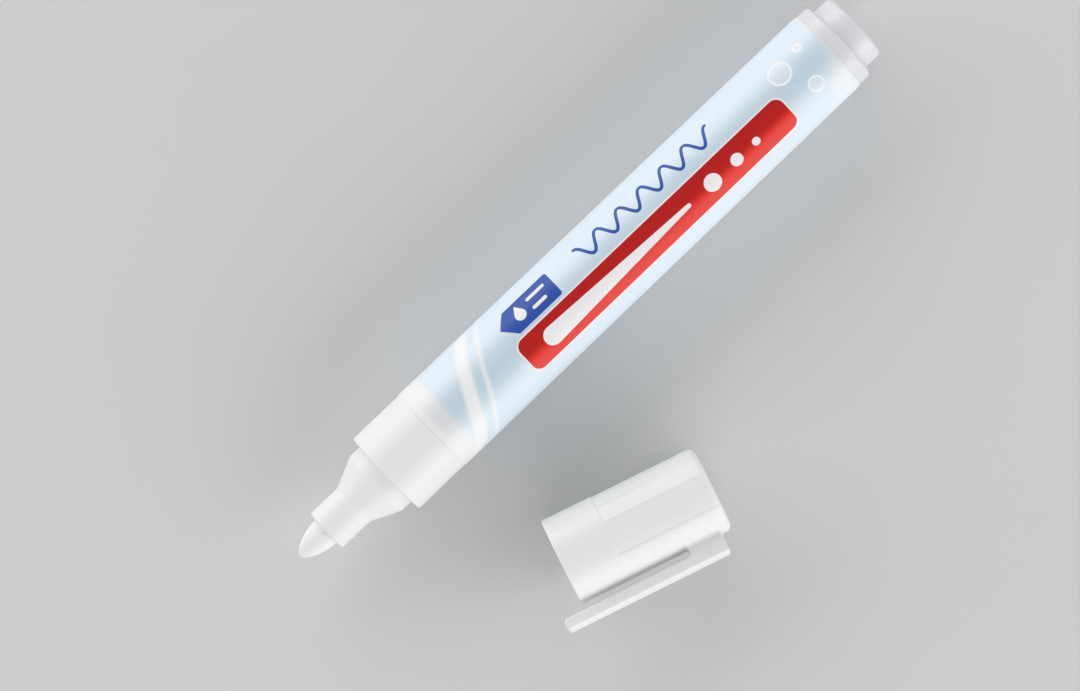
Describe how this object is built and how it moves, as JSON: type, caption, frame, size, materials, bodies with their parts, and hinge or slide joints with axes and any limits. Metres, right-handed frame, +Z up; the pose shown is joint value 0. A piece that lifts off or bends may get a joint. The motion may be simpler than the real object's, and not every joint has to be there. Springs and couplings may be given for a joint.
{
  "type": "glass marker",
  "caption": "Bullet-tip marker for glass boards: labelled white barrel, liquid-ink nose and tail plug, lying beside its pulled-off cap with a springy pocket clip.",
  "frame": {"origin": "middle of the footprint of the marker and its cap together, at table height", "axes": "+X along the marker from its nib to its tail, +Z up, the cap on the -Y side"},
  "size_m": [0.128, 0.0576, 0.0162],
  "materials": {
    "white_plastic": "smooth white moulding with a soft gloss",
    "natural_plastic": "cooler, milky white moulding",
    "inner_plastic": "plain undyed moulding",
    "label_film": "glossy printed film, pale blue with a red stripe",
    "nib_fibre": "bonded fibre soaked with white ink"
  },
  "bodies": {
    "marker": {"barrel": "white_plastic", "label_wrap": "label_film", "tail_plug": "natural_plastic", "front_section": "white_plastic", "nib": "nib_fibre", "feed_wick": "nib_fibre", "ink_regulator": "inner_plastic"},
    "cap": {"cap_shell": "white_plastic", "inner_cap": "inner_plastic"},
    "clip": {"cap_clip": "white_plastic"}
  },
  "joints": [
    {"name": "cap_slide", "type": "slide", "parent": "marker", "child": "cap", "axis": [0.9548, -0.2974, 0], "range_m": [-0.01985, 0]},
    {"name": "clip_flex", "type": "hinge", "parent": "cap", "child": "clip", "pos_m": [-0.01756, -0.02549, 0.00999], "axis": [0.0659, 0.2115, 0.9751], "range_deg": [0, 5], "stiffness_Nm_per_rad": 0.46}
  ]
}
